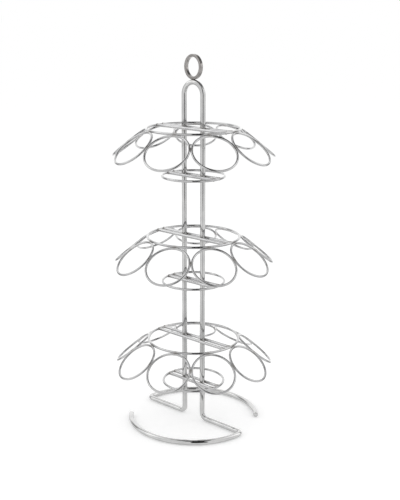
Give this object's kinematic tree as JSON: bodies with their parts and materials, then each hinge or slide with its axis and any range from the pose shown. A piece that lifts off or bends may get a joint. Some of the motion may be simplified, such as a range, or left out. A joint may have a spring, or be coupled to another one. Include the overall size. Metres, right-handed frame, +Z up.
{
  "type": "coffee pod stand",
  "caption": "Free-standing chromed wire stand with tiers of sloping round holders for single-serve coffee pods, an S-shaped wire foot and a finger ring on top.",
  "frame": {"origin": "on the floor, at the middle of the foot, below the point midway between the two uprights", "axes": "+Z up along the uprights; +X along the frame's plane, from one upright to the other and along its spoke; +Y across the frame"},
  "size_m": [0.1924, 0.1904, 0.4441],
  "materials": {
    "frame_chrome": "bright plated heavy wire",
    "finger_ring_chrome": "plated strip with rounded edges",
    "tier_chrome": "bright plated thin wire"
  },
  "bodies": {
    "root": {"frame_wire": "frame_chrome", "finger_ring": "finger_ring_chrome", "bottom_upper_ring": "tier_chrome", "bottom_lower_ring": "tier_chrome", "bottom_upper_cross_wire_front": "tier_chrome", "bottom_lower_cross_wire_front": "tier_chrome", "bottom_upper_cross_wire_back": "tier_chrome", "bottom_lower_cross_wire_back": "tier_chrome", "bottom_pod_ring_1": "tier_chrome", "bottom_pod_ring_2": "tier_chrome", "bottom_pod_ring_3": "tier_chrome", "bottom_pod_ring_4": "tier_chrome", "bottom_pod_ring_5": "tier_chrome", "bottom_pod_ring_6": "tier_chrome", "bottom_pod_ring_7": "tier_chrome", "bottom_pod_ring_8": "tier_chrome", "bottom_pod_ring_9": "tier_chrome", "middle_upper_ring": "tier_chrome", "middle_lower_ring": "tier_chrome", "middle_upper_cross_wire_front": "tier_chrome", "middle_lower_cross_wire_front": "tier_chrome", "middle_upper_cross_wire_back": "tier_chrome", "middle_lower_cross_wire_back": "tier_chrome", "middle_pod_ring_1": "tier_chrome", "middle_pod_ring_2": "tier_chrome", "middle_pod_ring_3": "tier_chrome", "middle_pod_ring_4": "tier_chrome", "middle_pod_ring_5": "tier_chrome", "middle_pod_ring_6": "tier_chrome", "middle_pod_ring_7": "tier_chrome", "middle_pod_ring_8": "tier_chrome", "middle_pod_ring_9": "tier_chrome", "top_upper_ring": "tier_chrome", "top_lower_ring": "tier_chrome", "top_upper_cross_wire_front": "tier_chrome", "top_lower_cross_wire_front": "tier_chrome", "top_upper_cross_wire_back": "tier_chrome", "top_lower_cross_wire_back": "tier_chrome", "top_pod_ring_1": "tier_chrome", "top_pod_ring_2": "tier_chrome", "top_pod_ring_3": "tier_chrome", "top_pod_ring_4": "tier_chrome", "top_pod_ring_5": "tier_chrome", "top_pod_ring_6": "tier_chrome", "top_pod_ring_7": "tier_chrome", "top_pod_ring_8": "tier_chrome", "top_pod_ring_9": "tier_chrome"}
  },
  "joints": []
}
